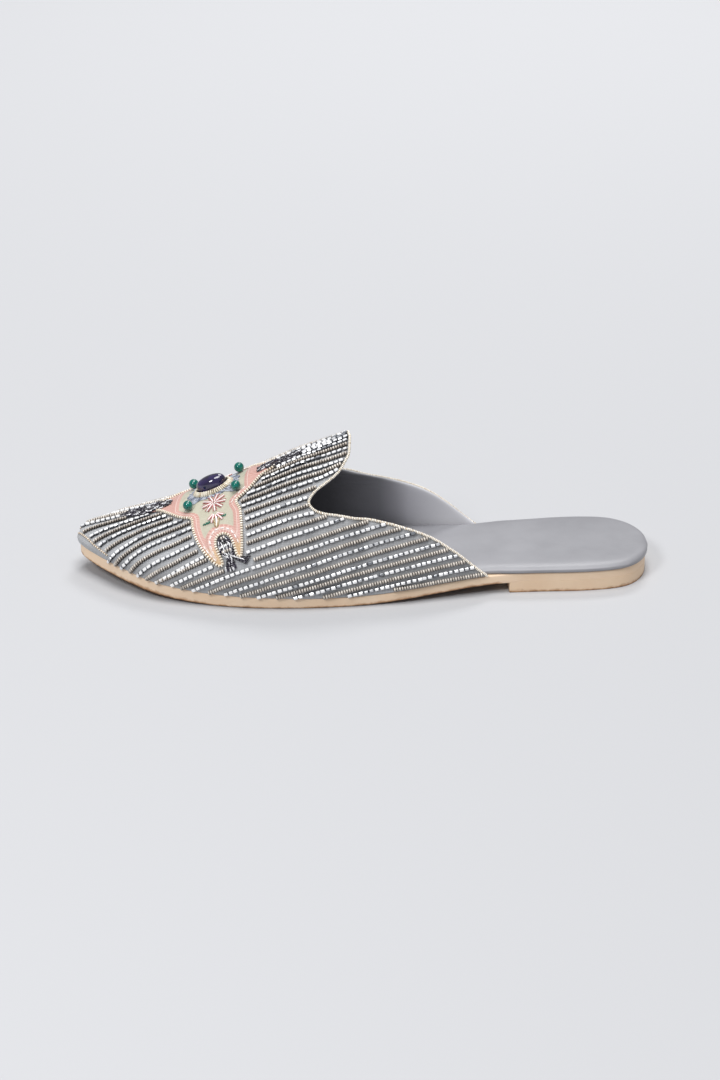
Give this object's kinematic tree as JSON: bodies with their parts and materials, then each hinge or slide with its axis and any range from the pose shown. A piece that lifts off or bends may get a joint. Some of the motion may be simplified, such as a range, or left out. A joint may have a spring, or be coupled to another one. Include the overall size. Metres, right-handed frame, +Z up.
{
  "type": "embroidered mule",
  "caption": "Flat pointed slip-on shoe with an open back: hollow beaded fabric upper with a raised tongue, padded insole and leather sole with a low heel lift.",
  "frame": {"origin": "on the floor below the middle of the shoe's box", "axes": "-X towards the toe, +X towards the heel, -Y the lateral (outer) side, +Y the medial side, +Z up"},
  "size_m": [0.2654, 0.0834, 0.0693],
  "materials": {
    "sole_leather": "natural vegetable-tanned leather, matt",
    "lift_leather": "stacked natural leather, matt",
    "insole_leather": "smooth grey lining leather",
    "upper_fabric": "grey woven cloth under bead rows",
    "bead_cord": "cream and gold seed beads on a cord",
    "satin_applique": "cream satin",
    "ring_beads": "cream and gold bugle beads",
    "stone": "polished indigo cabochon",
    "green_glass_beads": "polished green beads"
  },
  "bodies": {
    "root": {"outsole": "sole_leather", "heel_lift": "lift_leather", "insole": "insole_leather", "upper": "upper_fabric", "topline_binding": "bead_cord", "applique": "satin_applique", "cabochon_ring": "ring_beads", "cabochon": "stone", "green_bead_1": "green_glass_beads", "green_bead_2": "green_glass_beads", "green_bead_3": "green_glass_beads", "green_bead_4": "green_glass_beads"}
  },
  "joints": []
}
